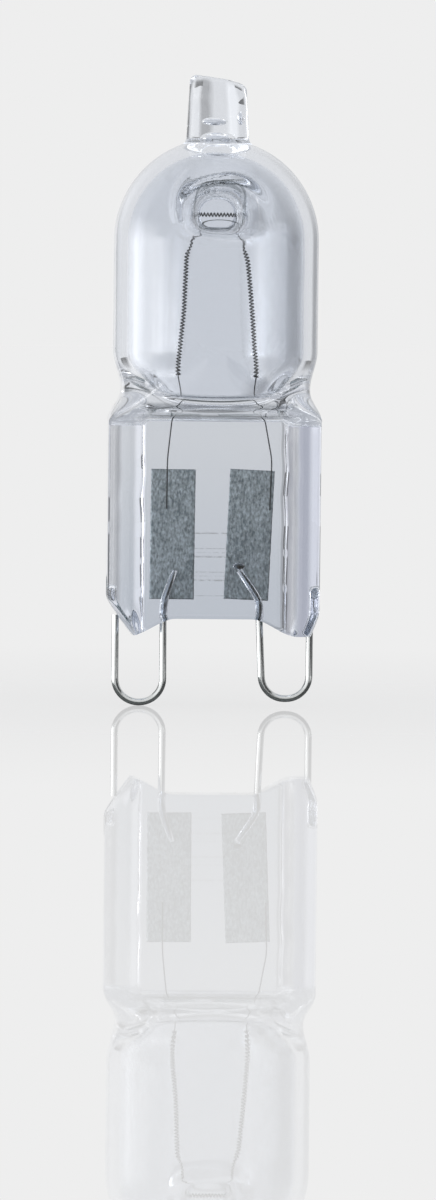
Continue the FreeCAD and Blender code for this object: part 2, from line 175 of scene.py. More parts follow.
class EnvelopeSettings(PropertyGroup):
    """Sizes of the quartz envelope."""

    tube_radius: length("Tube radius", "Outer radius of the tube and dome", 7.0)
    wall: length("Wall", "Thickness of the tube's wall", 0.95)
    dome_level: length("Dome level", "Height of the dome's centre", 31.86)
    tube_bottom: length("Tube bottom", "Height at which the tube turns into the shoulder", 24.36)
    tip_height: length("Tip height", "Rise of the sealed tip over the dome", 4.05)
    tip_radius: length("Tip radius", "Radius of the tip at its root", 2.15)
    tip_top_radius: length("Tip top radius", "Radius of the tip at its lid", 1.95)
    tip_round: length("Tip round", "Round of the tip's upper edge", 0.6)
    tip_root_round: length("Tip root round", "Round between the tip and the dome", 0.5)
    tip_wave: length("Tip wave", "Unevenness of the melted tip", 0.07)
    tip_slant: angle("Tip slant", "Slant of the lid", 10)
    bore_radius: length("Bore radius", "Radius of the closed bore in the tip", 0.85)
    bore_height: length("Bore height", "Rise of the bore over the cavity's dome", 1.35)
    bore_mouth: length("Bore mouth", "Round between the bore and the cavity's dome", 0.3)
    waist: length("Waist", "Half width of the shoulder's waist", 6.44)
    waist_level: length("Waist level", "Height of the waist", 21.61)
    pinch_top: length("Pinch top", "Height of the pinch's upper end", 19.46)
    pinch_half: length("Pinch half width", "Half width of the pinch", 7.29)
    bead_half: length("Bead half thickness", "Half thickness of the beads at the pinch's sides", 2.3)
    bead_width: length("Bead width", "Width of each bead", 2.1)
    bead_wave: length("Bead wave", "Unevenness of the beads' flanks", 0.11)
    web_half: length("Web half thickness", "Half thickness of the pressed web", 1.5)
    web_rise: length("Web rise", "Rise of the pressed web over the pinch's upper end", 0.9)
    arch_rise: length("Arch rise", "Rise of the pinch's lower edge between its feet", 1.15)
    arch_half: length("Arch half width", "Half width of the flat middle of the lower edge", 2.6)
    groove_radius: length("Groove radius", "Half width of the slots for the wires' free ends", 0.45)
    groove_depth: length("Groove depth", "Depth of the slots for the wires' free ends", 0.9)
    groove_height: length("Groove height", "Height of the slots over the pinch's foot", 3.6)
    cavity_floor: length("Cavity floor", "Height of the cavity's closed lower end", 20.96)
    trough: length("Trough", "Height of the round end of the cavity", 0.7)
    cavity_floor_half: length("Cavity floor half width", "Half width of the cavity's lower end", 4.55)
    dent_level: length("Dent level", "Height of the dents that grip the filament", 34.11)
    dent_mouth: length("Dent mouth", "Half width of a dent at the dome's surface", 3.5)
    dent_lean: length("Dent lean", "Shift of a dent's mouth to the right", 0.4)
    dent_brow: length("Dent brow", "Reach of a dent's mouth above its middle", 2.15)
    dent_lip: length("Dent lip", "Reach of a dent's mouth below its middle", 2.5)
    hook_reach: length("Hook reach", "Distance of the hooked crease from the middle of its dent", 3.15)
    hook_width: length("Hook width", "Half width of the hooked crease", 0.42)
    hook_depth: length("Hook depth", "Depth of the hooked crease", 0.22)
    dent_nose: length("Dent nose", "Half width of a dent's nose inside the cavity", 1.75)
    dent_wall: length("Dent wall", "Thickness of a dent's side", 0.45)
    dent_slope: length("Dent slope", "Setback of a dent's upper side", 1.0)
    dent_floor: length("Dent floor", "Thickness of a dent's nose", 0.7)
    dent_face: length("Dent face", "Distance of a dent's nose from the middle plane", 0.17)
    channel_gap: length("Channel gap", "Width of the hollow round a lead in the pinch", 0.04)
    turns: IntProperty(name="Turns", default=224, min=48, description="Faces round the envelope")


class WireSettings(PropertyGroup):
    """Sizes of the filament and foils."""

    coil_radius: length("Coil radius", "Outer radius of the filament's coil", 0.185)
    coil_wire: length("Coil wire", "Radius of the wire that the coil is wound from", 0.05)
    coil_pitch: length("Coil pitch", "Rise of one turn of the coil", 0.22)
    coil_neck: share("Coil neck", "Width of the coil's necks under the dents, as a share of its legs", 0.62)
    tail_radius: length("Tail radius", "Radius of the filament's straight tails", 0.045)
    foil_width: length("Foil width", "Width of a foil", 3.05)
    foil_height: length("Foil height", "Height of a foil", 8.9)
    foil_thickness: length("Foil thickness", "Thickness of a foil", 0.03)
    foil_fray: length("Foil fray", "Unevenness of a foil's long edges", 0.02)
    foil_crumple: length("Foil crumple", "Height of the creases in the foils", 0.07)


class FinishSettings(PropertyGroup):
    """Colours of the finishes, and of the painted shade, highlights and glow in the glass."""

    quartz: colour("Quartz", "Tint of the thin quartz wall", (0.8, 0.825, 0.87))
    quartz_pinch: colour("Quartz, pinch", "Tint of the thick quartz of pinch and tip", (0.67, 0.7, 0.75))
    quartz_foot: colour("Quartz, foot", "Tint of the quartz at the pinch's foot", (0.57, 0.61, 0.68))
    caught_light: colour("Caught light", "Light that stays caught between the walls", (0.27, 0.28, 0.3))
    tip_light: colour("Caught light, tip", "Light that stays caught in the tip", (0.6, 0.62, 0.65))
    # Painted shade: dark streaky level lines across the shoulder, where the thick glass under the cavity
    # looks dark.
    shoulder_painted_shade: colour("Shoulder marks", "Level lines where the shoulder was drawn in", (0.22, 0.24, 0.27))
    # Painted highlight: pale tint along the beads' outermost glass and the flanks beside the web.
    bead: colour("Beads", "Tint of the thin edges of the pinch's beads", (0.85, 0.875, 0.95))
    # Painted shade for the middle of the right bead.
    bead_painted_shade: colour("Beads, shade", "Tint of the right bead's middle", (0.48, 0.505, 0.595))
    # Painted shade: dark lines and a crescent round the dents, standing in for their refraction.
    dent_painted_line: colour("Dent lines", "Creases round the dents", (0.16, 0.18, 0.19))
    press_mark: colour("Press marks", "Lines that the jaws leave on the pinch", (0.25, 0.26, 0.27))
    # Painted shade: dark patches on the hollows round the leads.
    seal_painted_shade: colour("Seal marks", "Dark patches in the seal round the leads", (0.03, 0.04, 0.04))
    tungsten: colour("Tungsten", "Drawn tungsten wire", (0.11, 0.115, 0.12))
    foil_light: colour("Foil, light", "Bright etched foil", (0.86, 0.94, 0.96))
    foil_dark: colour("Foil, dark", "Dull etched foil", (0.26, 0.31, 0.33))
    wire: colour("Pin wire", "Polished pin wire", (0.76, 0.78, 0.78))
    backdrop: colour("Backdrop", "Floor and backdrop", (0.855, 0.855, 0.855))


class StageSettings(PropertyGroup):
    """Camera and light."""

    azimuth: angle("Azimuth", "Camera's turn", -3)
    elevation: angle("Elevation", "Camera's rise", 2)
    roll: angle("Roll", "Camera's lean", 0.6)
    distance: length("Distance", "Camera's distance from the bulb", 600.0)
    view_height: length("View height", "Height that the picture covers at the bulb", 82.19)
    aim_level: length("Aim level", "Height in the middle of the picture", 7.27)
    aim_side: length("Aim side", "Offset of the picture's middle from the bulb's axis", 0.36)
    reflection: share("Reflection", "Share of the floor's mirror reflection", 0.28)
    key: brightness("Key", "Brightness of the left key light", 4.2)
    fill: brightness("Fill", "Brightness of the top light", 1.5)
    strip: brightness("Strip", "Brightness of the right strip light", 1.7)


class BulbSettings(PropertyGroup):
    """All settings of the bulb."""

    envelope: PointerProperty(type=EnvelopeSettings)
    wires: PointerProperty(type=WireSettings)
    finish: PointerProperty(type=FinishSettings)
    stage: PointerProperty(type=StageSettings)


def settings():
    return bpy.context.scene.halogen_bulb


# Shaping helpers


def between(start, end, t):
    return start + (end - start) * t


def ramp(value, start, end):
    """Smooth rise from 0 at the start to 1 at the end."""
    t = min(1.0, max(0.0, (value - start) / (end - start)))
    return t * t * (3 - 2 * t)


def shares(count, first=1):
    """Even shares of 1, from the first one up to 1 itself."""
    return [i / count for i in range(first, count + 1)]


def waved(point, span):
    """Uneven shift of a point, the same on every run: each axis takes the noise of a place of its own."""
    place = point / span
    return Vector([noise.noise(place + shift) for shift in WAVE_SHIFTS])


def round_row(level, radius):
    return level, radius, radius, ROUND_POWER


def section_point(row, turn):
    """Point of a level section: an ellipse whose corners fill out as its power rises above 2."""
    level, half_width, half_depth, power = row
    cosine, sine = math.cos(turn), math.sin(turn)
    reach = (abs(cosine) ** power + abs(sine) ** power) ** (-1 / power)
    return Vector((half_width * cosine * reach, half_depth * sine * reach, level))


def blow(bm, rows, turns, shape):
    """Blows a ball into a hollow form: a ring for each row, from the top down, the last one pressed flat."""
    ball = bmesh.ops.create_uvsphere(bm, u_segments=turns, v_segments=len(rows), radius=1.0)["verts"]
    pole = min(ball, key=lambda vert: vert.co.z)
    for vert in ball:
        ring = round(math.acos(max(-1.0, min(1.0, vert.co.z))) / math.pi * len(rows))
        row = rows[min(ring, len(rows) - 1)]
        vert.co = shape(section_point(row, math.atan2(vert.co.y, vert.co.x)))
    bmesh.ops.delete(bm, geom=[pole], context="VERTS")
    bmesh.ops.remove_doubles(bm, verts=[vert for vert in ball if vert.is_valid], dist=MERGE)


def finished(name, bm, material, slot, *nodes):
    """Object of the finished mesh, smooth shaded, riding on the bulb and standing for its CAD nodes."""
    mesh = bpy.data.meshes.new(name)
    for face in bm.faces:
        face.smooth = True
    bm.to_mesh(mesh)
    bm.free()
    piece = bpy.data.objects.new(name, mesh)
    bpy.context.scene.collection.objects.link(piece)
    piece.data.materials.append(material)
    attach(piece, ROOT)
    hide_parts(*nodes)
    return piece


# Quartz envelope


def outer_rows(e):
    """Sections of the envelope's outside, from the lid of the tip down to the pinch's foot."""
    lid = e.dome_level + e.tube_radius + e.tip_height
    flat = e.tip_top_radius - e.tip_round
    rows = [round_row(lid, flat * t) for t in shares(6, 0)]
    for t in shares(8):
        turn = math.pi / 2 * t
        rows.append(round_row(lid - e.tip_round * (1 - math.cos(turn)), flat + e.tip_round * math.sin(turn)))
    centre, swing = e.tip_radius + e.tip_root_round, e.tube_radius + e.tip_root_round
    root = e.dome_level + math.sqrt(swing**2 - centre**2)
    for t in shares(15)[:-1]:
        radius = between(e.tip_top_radius, e.tip_radius, t)
        rows.append(round_row(between(lid - e.tip_round, root, t), radius))
    lean = math.acos(centre / swing)
    for t in shares(8, 0):
        radius = centre - e.tip_root_round * math.cos(lean * t)
        rows.append(round_row(root - e.tip_root_round * math.sin(lean * t), radius))
    rows += dome_rows(e, e.tube_radius, lean, 64)
    rows += tube_rows(e, e.tube_radius)
    rows += [shoulder_row(e, 1 - t) for t in shares(36, 0)]
    rows += [(between(e.pinch_top, FOOT, t), e.pinch_half, e.bead_half, PINCH_POWER) for t in shares(48)]
    rows += [(FOOT, e.pinch_half, e.bead_half * (1 - t), PINCH_POWER) for t in shares(8)]
    return rows


def dome_rows(e, radius, lean, count):
    """Sections of a dome, from the angle at which the tip or its bore stands on it down to the tube."""
    turns = [lean * (1 - t) for t in shares(count)]
    return [round_row(e.dome_level + radius * math.sin(turn), radius * math.cos(turn)) for turn in turns]


def tube_rows(e, radius):
    """Sections of the straight tube, close together where the dents reach down to it."""
    near = e.dome_level - DENT_REACH
    levels = [between(e.dome_level, near, t) for t in shares(12)]
    levels += [between(near, e.tube_bottom, t) for t in shares(8)[:-1]]
    return [round_row(level, radius) for level in levels]


def shoulder_row(e, t):
    """Section of the shoulder, from the pinch at 0 to the tube at 1, drawn in at the waist."""
    level = between(e.pinch_top, e.tube_bottom, t)
    if level < e.waist_level:
        half_width = between(e.pinch_half, e.waist, ramp(level, e.pinch_top, e.waist_level))
    else:
        half_width = between(e.waist, e.tube_radius, ramp(level, e.waist_level, e.tube_bottom))
    below = max(0.0, 1 - t)
    half_depth = between(e.bead_half, e.tube_radius, (1 - below**SHOULDER_POWER) ** (1 / SHOULDER_POWER))
    return level, half_width, half_depth, between(ROUND_POWER, PINCH_POWER, below**2)


def inner_rows(e):
    """Sections of the cavity, from the closed end of the bore down to the slot over the pinch."""
    radius = e.tube_radius - e.wall
    bore_end = e.dome_level + radius + e.bore_height
    cap = BORE_CAP * e.bore_radius
    rows = []
    for t in shares(10, 0):
        turn = math.pi / 2 * t
        rows.append(round_row(bore_end - cap * (1 - math.cos(turn)), e.bore_radius * math.sin(turn)))
    centre, swing = e.bore_radius + e.bore_mouth, radius + e.bore_mouth
    lean = math.acos(centre / swing)
    throat = e.dome_level + swing * math.sin(lean)
    rows += [round_row(between(bore_end - cap, throat, t), e.bore_radius) for t in shares(9)[:-1]]
    for t in shares(6, 0):
        reach = centre - e.bore_mouth * math.cos(lean * t)
        rows.append(round_row(throat - e.bore_mouth * math.sin(lean * t), reach))
    rows += dome_rows(e, radius, lean, 56)
    rows += tube_rows(e, radius)
    rows += [cavity_row(e, radius, 1 - t) for t in shares(30, 0)]
    return rows


def cavity_row(e, radius, t):
    """Section of the cavity in the shoulder, from its closed end at 0 to the tube at 1."""
    level = between(e.cavity_floor, e.tube_bottom, t**1.5)
    opening = math.sin((level - e.cavity_floor) / (e.tube_bottom - e.cavity_floor) * math.pi / 2)
    outside = shoulder_row(e, (level - e.pinch_top) / (e.tube_bottom - e.pinch_top))
    trough = math.sqrt(1 - max(0.0, 1 - (level - e.cavity_floor) / e.trough) ** 2)
    half_width = between(e.cavity_floor_half, radius, opening)
    return level, half_width, (outside[2] - e.wall) * trough, outside[3]


def arched(turn, half, up, down):
    """Reach of an arched outline in a direction: round above its middle, full cornered below."""
    across, rise = abs(math.cos(turn)), math.sin(turn)
    height, power = (up, BROW_POWER) if rise > 0 else (down, LIP_POWER)
    return ((across / half) ** power + (abs(rise) / height) ** power) ** (-1 / power)


def pressed_dent(point, ball_radius, nose, mouth, level, face, e):
    """Moves a point of the dome into the dent of its own side: a flat arched nose with flaring sides."""
    side = -1 if point.y < 0 else 1
    across, up = point.x, point.z - level
    reach, turn = math.hypot(across, up), math.atan2(up, across)
    inner, outer = arched(turn, *nose), arched(turn, *mouth) + e.dent_lean * math.cos(turn)
    if reach >= outer:
        return point
    flare = max(0.0, (reach - inner) / (outer - inner)) ** DENT_FLARE
    reach = inner + (outer - inner) * flare if reach > inner else reach
    x, z = reach * math.cos(turn), level + reach * math.sin(turn)
    ball = math.sqrt(max(0.0, ball_radius**2 - x**2 - max(0.0, z - e.dome_level) ** 2))
    edge = between(DENT_EDGE_RIGHT, DENT_EDGE_LEFT, max(0.0, -math.cos(turn)))
    return Vector((x, side * between(face, ball, 1 - (1 - flare) ** edge), z))


def hooked(point, e):
    """Presses the hooked crease that runs round a dent on its left, as seen from its own side."""
    side = -1 if point.y < 0 else 1
    across, up = -side * point.x, point.z - e.dent_level
    turn = math.atan2(up, across) % (2 * math.pi)
    start, full, fade, end = (math.radians(degrees) for degrees in HOOK_TURNS)
    near = ramp(abs(math.hypot(across, up) - e.hook_reach), e.hook_width, 0)
    ends = ramp(turn, start, full) * ramp(turn, end, fade)
    return point - Vector((0, side * e.hook_depth * near * ends, 0))


def pressed_pinch(point, e):
    """Presses the web, tapers the corners, cuts the side slots and arches the foot of the pinch."""
    x, y, z = point
    inner = e.pinch_half - e.bead_width
    flank = inner + e.bead_wave * noise.noise(Vector((math.copysign(9, x), 0, z / FLANK_SPAN)))
    pressed = ramp(z, e.pinch_top + e.web_rise, e.pinch_top + WEB_FADE)
    web = ramp(abs(x), flank + FLANK_OUT, flank - FLANK_IN) * pressed
    y = between(y, min(e.web_half, max(-e.web_half, y)), web)
    taper, height = LEFT_CORNER if x < 0 else RIGHT_CORNER
    lowering = max(0.0, 1 - (z - FOOT) / height) ** CORNER_BEND
    x = math.copysign(abs(x) - taper * lowering * max(0.0, (abs(x) - inner) / e.bead_width), x)
    from_slot = math.hypot(y, max(0.0, z - (FOOT + e.groove_height - e.groove_radius)))
    if abs(x) > inner:
        cut = e.groove_depth * ramp(from_slot, 1.6 * e.groove_radius, 0.6 * e.groove_radius)
        x = math.copysign(abs(x) - min(cut, abs(x) - inner), x)
    if z < e.pinch_top:
        arch = e.arch_rise * ramp(abs(x), e.pinch_half - ARCH_FOOT, e.arch_half)
        z = between(FOOT + arch, e.pinch_top, (z - FOOT) / (e.pinch_top - FOOT))
    return Vector((x, y, z))


def shaped_outside(point, e):
    """Slants the tip, presses the dents from outside and shapes the pinch."""
    root = e.dome_level + e.tube_radius
    if point.z > root:
        lean = ((point.z - root) / e.tip_height) ** 2
        wave = waved(point, TIP_SPAN) * e.tip_wave * ramp(point.z, root + TIP_CALM, root + TIP_MELTED)
        return point + wave - Vector((0, 0, point.x * math.tan(e.tip_slant) * lean))
    if point.z > e.tube_bottom:
        half = e.dent_nose - e.dent_wall
        drop = (e.dent_slope - DENT_SLACK) / 2
        height = half - drop + e.dent_wall / 2
        mouth = (e.dent_mouth, e.dent_brow + drop, e.dent_lip - drop)
        face = e.dent_face + e.dent_floor
        dent = pressed_dent(point, e.tube_radius, (half, height, height), mouth, e.dent_level - drop, face, e)
        return hooked(dent, e)
    return pressed_pinch(point, e)


def shaped_cavity(point, e):
    """Presses the dents' noses into the cavity and lets its floor sag."""
    radius = e.tube_radius - e.wall
    if e.tube_bottom < point.z < e.dome_level + radius - BORE_MARGIN:
        height = e.dent_nose - NOSE_SQUASH
        mouth = (e.dent_mouth - MOUTH_INSET, e.dent_brow - MOUTH_INSET, e.dent_lip - LIP_INSET)
        nose = (e.dent_nose, height, height)
        return pressed_dent(point, radius, nose, mouth, e.dent_level, e.dent_face, e)
    if point.z < e.tube_bottom:
        sag = FLOOR_SAG * ramp(point.z, e.tube_bottom, e.cavity_floor)
        return point + Vector((0, 0, sag * ((point.x / e.cavity_floor_half) ** 2 - SAG_MIDDLE)))
    return point


def lead_channel(bm, side, e):
    """Hollow round a lead in the pinch, from just past its weld to just above the foot."""
    low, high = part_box("lead_left")
    radius = (high.y - low.y) / 2 + e.channel_gap
    weld, bend, entry = placed(LEFT_LEAD if side < 0 else RIGHT_LEAD)
    past_weld = weld + (weld - bend).normalized() * e.channel_gap
    before = set(bm.verts)
    drawn_wire(bm, rounded([past_weld, bend, entry], WIRE_BEND), radius, sides=20)
    for vert in bm.verts:
        if vert not in before:
            vert.co += waved(vert.co, CHANNEL_SPAN) * CHANNEL_WAVE


def bubble(bm, place, halves):
    """Small flattened gas bubble in the glass."""
    ball = bmesh.ops.create_uvsphere(bm, u_segments=24, v_segments=14, radius=1.0)["verts"]
    bmesh.ops.scale(bm, vec=Vector(halves) * MM, verts=ball)
    bmesh.ops.translate(bm, vec=placed([place])[0], verts=ball)


class BULB_OT_envelope(Operator):
    """Blow the quartz envelope with its dents, tip and pressed pinch"""

    bl_idname = "bulb.envelope"
    bl_label = "Quartz envelope"

    def execute(self, context):
        e = settings().envelope
        bm = bmesh.new()
        for side in SIDES:
            lead_channel(bm, side, e)
        for place, halves in (SEAL_BUBBLE, TIP_BUBBLE, TIP_CREASE):
            bubble(bm, place, halves)
        blow(bm, inner_rows(e), e.turns, lambda point: shaped_cavity(point, e))
        hollows = list(bm.faces)
        blow(bm, outer_rows(e), e.turns, lambda point: shaped_outside(point, e))
        bmesh.ops.recalc_face_normals(bm, faces=list(bm.faces))
        bmesh.ops.reverse_faces(bm, faces=hollows)
        finished("quartz_envelope", bm, quartz_material(), "quartz", "quartz_capsule")
        return {"FINISHED"}


# Filament


def filament_route():
    """Corner points of the coil, from the left foot over the grip of the dents to the right foot."""
    return placed(LEFT_LEG + LEFT_NECK + tuple(reversed(RIGHT_LEG + RIGHT_NECK)))


def rounded(points, radius):
    """Close points along a route whose corners are rounded."""
    route = [points[0]]
    for before, corner, after in zip(points, points[1:], points[2:]):
        back, ahead = (before - corner).normalized() * radius, (after - corner).normalized() * radius
        route += [corner + back * (1 - t) ** 2 + ahead * t**2 for t in shares(8, 0)]
    return route + [points[-1]]


def bend_along(verts, route, neck):
    """Bends the straight upright coil so that its axis follows the route, and narrows its necks."""
    low, high = NECK_LEVELS[0] * MM, NECK_LEVELS[1] * MM
    starts = [0.0]
    for a, b in zip(route, route[1:]):
        starts.append(starts[-1] + (b - a).length)
    for vert in verts:
        along = min(max(vert.co.z, 0.0), starts[-1])
        i = min(bisect.bisect_right(starts, along), len(route) - 1) - 1
        heading = (route[i + 1] - route[i]).normalized()
        normal = heading.cross(Vector((0, 1, 0))).normalized()
        place = route[i] + heading * (vert.co.z - starts[i])
        narrow = ramp(place.z, low, low + NECK_SOFT) * ramp(place.z, high, high - NECK_SOFT)
        width = between(1.0, neck, narrow) * between(1.0, GRIPPED, ramp(place.z, high - NECK_SOFT, high))
        vert.co = place + (normal * vert.co.x + Vector((0, 1, 0)) * vert.co.y) * width


def coil(bm, w):
    """Winds a stretch of the coil, doubles it again and again, and bends it along its route."""
    route = rounded(filament_route(), COIL_BEND)
    route_length = sum((b - a).length for a, b in zip(route, route[1:]))
    doublings, steps = 4, 10
    wound = round(route_length / w.coil_pitch / 2**doublings)
    rise = Vector((0, 0, route_length / (wound * 2**doublings)))
    turned = Matrix.Translation((w.coil_radius - w.coil_wire, 0, 0)) @ Matrix.Rotation(math.pi / 2, 4, "X")
    ring = bmesh.ops.create_circle(bm, segments=6, radius=w.coil_wire, matrix=turned)["verts"]
    edges = list({edge for vert in ring for edge in vert.link_edges})
    winding = {"angle": 2 * math.pi * wound, "steps": wound * steps, "dvec": rise / steps}
    bmesh.ops.spin(bm, geom=ring + edges, cent=(0, 0, 0), axis=(0, 0, 1), **winding)
    for i in range(doublings):
        parts = bm.verts[:] + bm.edges[:] + bm.faces[:]
        copied = bmesh.ops.duplicate(bm, geom=parts)["geom"]
        verts = [item for item in copied if isinstance(item, bmesh.types.BMVert)]
        bmesh.ops.translate(bm, verts=verts, vec=rise * wound * 2**i)
    bmesh.ops.remove_doubles(bm, verts=bm.verts[:], dist=MERGE)
    bmesh.ops.holes_fill(bm, edges=[edge for edge in bm.edges if edge.is_boundary], sides=0)
    bend_along(bm.verts[:], route, w.coil_neck)


def tail_route(side, w):
    """A tail from the coil's foot through the seal to its weld on the foil."""
    low = FOIL_BOXES["foil_left" if side < 0 else "foil_right"][0]
    foot = filament_route()[0 if side < 0 else -1]
    entry, end = placed(LEFT_TAIL if side < 0 else RIGHT_TAIL, depth=low.y - w.tail_radius)
    return [foot + Vector((0, 0, TAIL_START)), foot + Vector((side * TAIL_OUT, 0, -TAIL_DROP)), entry, end]


def drawn_wire(bm, route, radius, sides=8):
    """Draws a round wire along the route, one extruded ring after another."""
    axis = (route[1] - route[0]).normalized()
    place = Matrix.Translation(route[0]) @ axis.to_track_quat("Z", "Y").to_matrix().to_4x4()
    ring = bmesh.ops.create_circle(bm, cap_ends=True, segments=sides, radius=radius, matrix=place)["verts"]
    faces = list({face for vert in ring for face in vert.link_faces})
    for i, point in enumerate(route[1:], 1):
        new = bmesh.ops.extrude_face_region(bm, geom=faces)["geom"]
        if i > 1:
            bmesh.ops.delete(bm, geom=faces, context="FACES_ONLY")
        verts = [item for item in new if isinstance(item, bmesh.types.BMVert)]
        faces = [item for item in new if isinstance(item, bmesh.types.BMFace)]
        bmesh.ops.translate(bm, verts=verts, vec=point - route[i - 1])
        ahead = (route[min(i + 1, len(route) - 1)] - route[i - 1]).normalized()
        turn = axis.rotation_difference(ahead).to_matrix()
        bmesh.ops.rotate(bm, verts=verts, cent=point, matrix=turn)
        axis = ahead


class BULB_OT_filament(Operator):
    """Wind the coiled filament and draw its tails"""

    bl_idname = "bulb.filament"
    bl_label = "Filament"

    def execute(self, context):
        w = settings().wires
        bm = bmesh.new()
        coil(bm, w)
        for side in SIDES:
            drawn_wire(bm, rounded(tail_route(side, w), WIRE_BEND), w.tail_radius)
        bmesh.ops.recalc_face_normals(bm, faces=list(bm.faces))
        finished("filament_coil", bm, tungsten_material(), "tungsten", "filament")
        return {"FINISHED"}


# Foils and leads


class BULB_OT_foils(Operator):
    """Roll out the two crumpled sealing foils"""

    bl_idname = "bulb.foils"
    bl_label = "Sealing foils"

    def execute(self, context):
        w = settings().wires
        material = foil_material()
        for name, (low, high) in FOIL_BOXES.items():
            bm = bmesh.new()
            bmesh.ops.create_grid(bm, x_segments=26, y_segments=72, size=0.5)
            for vert in bm.verts:
                x, z = vert.co.x * w.foil_width, vert.co.y * w.foil_height
                seed = Vector((x, z, low.x)) / CREASE_SPAN
                edge = w.foil_fray * noise.noise(seed * 3) * ramp(abs(vert.co.x), 0.4, 0.5)
                crease = w.foil_crumple * 0.5 * (noise.noise(seed) + 0.5 * noise.noise(seed * 2.3))
                vert.co = Vector((x + edge, crease, z))
            tilt = Matrix.Rotation(math.radians(FOIL_TILTS[name]), 3, "Y")
            bmesh.ops.rotate(bm, verts=bm.verts, cent=(0, 0, 0), matrix=tilt)
            bmesh.ops.translate(bm, verts=bm.verts, vec=(low + high) / 2)
            bmesh.ops.solidify(bm, geom=list(bm.faces), thickness=w.foil_thickness)
            bmesh.ops.recalc_face_normals(bm, faces=list(bm.faces))
            finished(name + "_sheet", bm, material, "molybdenum_foil", name)
        return {"FINISHED"}


class BULB_OT_leads(Operator):
    """Finish the two leads with their pin loops"""

    bl_idname = "bulb.leads"
    bl_label = "Leads"

    def execute(self, context):
        material = wire_material()
        for name in ("lead_left", "lead_right"):
            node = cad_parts[name]
            node.data.materials.clear()
            node.data.materials.append(material)
        return {"FINISHED"}


# Finishes, and the painted shade, highlights and glow in the glass


def new_material(name):
    """Material with its Principled shader, and the node tree that it is built in."""
    material = bpy.data.materials.new(name)
    material.use_nodes = True
    return material, material.node_tree, material.node_tree.nodes["Principled BSDF"]


def grain_group():
    """Node group of a grain on Object coordinates, drawn out by its own scale on each axis."""
    group = bpy.data.node_groups.get("surface_grain")
    if group:
        return group
    group = bpy.data.node_groups.new("surface_grain", "ShaderNodeTree")
    group.interface.new_socket("Scale", in_out="INPUT", socket_type="NodeSocketVector")
    group.interface.new_socket("Detail", in_out="INPUT", socket_type="NodeSocketFloat")
    group.interface.new_socket("Grain", in_out="OUTPUT", socket_type="NodeSocketFloat")
    given = group.nodes.new("NodeGroupInput")
    result = group.nodes.new("NodeGroupOutput")
    coordinates = group.nodes.new("ShaderNodeTexCoord")
    place = group.nodes.new("ShaderNodeMapping")
    texture = group.nodes.new("ShaderNodeTexNoise")
    texture.inputs["Scale"].default_value = 1.0
    texture.inputs["Roughness"].default_value = 0.6
    group.links.new(coordinates.outputs["Object"], place.inputs["Vector"])
    group.links.new(given.outputs["Scale"], place.inputs["Scale"])
    group.links.new(place.outputs["Vector"], texture.inputs["Vector"])
    group.links.new(given.outputs["Detail"], texture.inputs["Detail"])
    group.links.new(texture.outputs["Fac"], result.inputs["Grain"])
    return group


def grain(tree, scale, detail):
    """Grain of a finish, by its scale along each axis and its detail."""
    node = tree.nodes.new("ShaderNodeGroup")
    node.node_tree = grain_group()
    node.inputs["Scale"].default_value = scale
    node.inputs["Detail"].default_value = detail
    return node.outputs["Grain"]


def mixed(tree, factor, first, second):
    """Mix of two colours or colour sockets by a factor socket."""
    mix = tree.nodes.new("ShaderNodeMix")
    mix.data_type = "RGBA"
    tree.links.new(factor, mix.inputs["Factor"])
    for value, socket in ((first, mix.inputs["A"]), (second, mix.inputs["B"])):
        if isinstance(value, bpy.types.NodeSocket):
            tree.links.new(value, socket)
        else:
            socket.default_value = (*value, 1)
    return mix.outputs["Result"]


def mapped(tree, value, low, high, to_low=0.0, to_high=1.0):
    """Range mapping of a value socket."""
    node = tree.nodes.new("ShaderNodeMapRange")
    tree.links.new(value, node.inputs["Value"])
    for name, limit in (("From Min", low), ("From Max", high), ("To Min", to_low), ("To Max", to_high)):
        node.inputs[name].default_value = limit
    return node.outputs["Result"]


def fading(tree, place, limits, most=1.0):
    """Mask over a place socket: 0 at the first limit and full at the second, both in millimetres."""
    return mapped(tree, place, limits[0] * MM, limits[1] * MM, 0.0, most)


def bumped(tree, height, strength, distance):
    bump = tree.nodes.new("ShaderNodeBump")
    bump.inputs["Strength"].default_value = strength
    bump.inputs["Distance"].default_value = distance
    tree.links.new(height, bump.inputs["Height"])
    return bump.outputs["Normal"]


def object_axes(tree):
    """Separate Object coordinates."""
    coordinates = tree.nodes.new("ShaderNodeTexCoord")
    parts = tree.nodes.new("ShaderNodeSeparateXYZ")
    tree.links.new(coordinates.outputs["Object"], parts.inputs["Vector"])
    return parts.outputs


def calculated(tree, operation, *values):
    """Math node on sockets or plain numbers."""
    node = tree.nodes.new("ShaderNodeMath")
    node.operation = operation
    for value, socket in zip(values, node.inputs):
        if isinstance(value, (int, float)):
            socket.default_value = value
        else:
            tree.links.new(value, socket)
    return node.outputs["Value"]


def chained(tree, operation, values):
    """One math operation over several values, such as the product of masks."""
    total = values[0]
    for value in values[1:]:
        total = calculated(tree, operation, total, value)
    return total


def apart(tree, value, middle):
    """Distance of a value from a middle."""
    return calculated(tree, "ABSOLUTE", calculated(tree, "SUBTRACT", value, middle))


def press_marks(tree, axes):
    """Faint level lines that the jaws leave on the front of the web, between the foils."""
    phase = calculated(tree, "WRAP", axes["Z"], *(level * MM for level in PRESS_REPEAT))
    marks = []
    for level, width, depth in PRESS_LINES:
        marks.append(fading(tree, apart(tree, phase, level * MM), (width, 0.3 * width), depth))
    masks = [
        chained(tree, "MAXIMUM", marks),
        mapped(tree, grain(tree, (4000, 4000, 4000), 3), 0.36, 0.54),
        fading(tree, apart(tree, axes["X"], PRESS_MIDDLE * MM), PRESS_SIDE),
        fading(tree, axes["Z"], PRESS_TOP),
        fading(tree, axes["Z"], PRESS_BOTTOM),
        fading(tree, axes["Y"], PRESS_FRONT),
    ]
    return chained(tree, "MULTIPLY", masks)


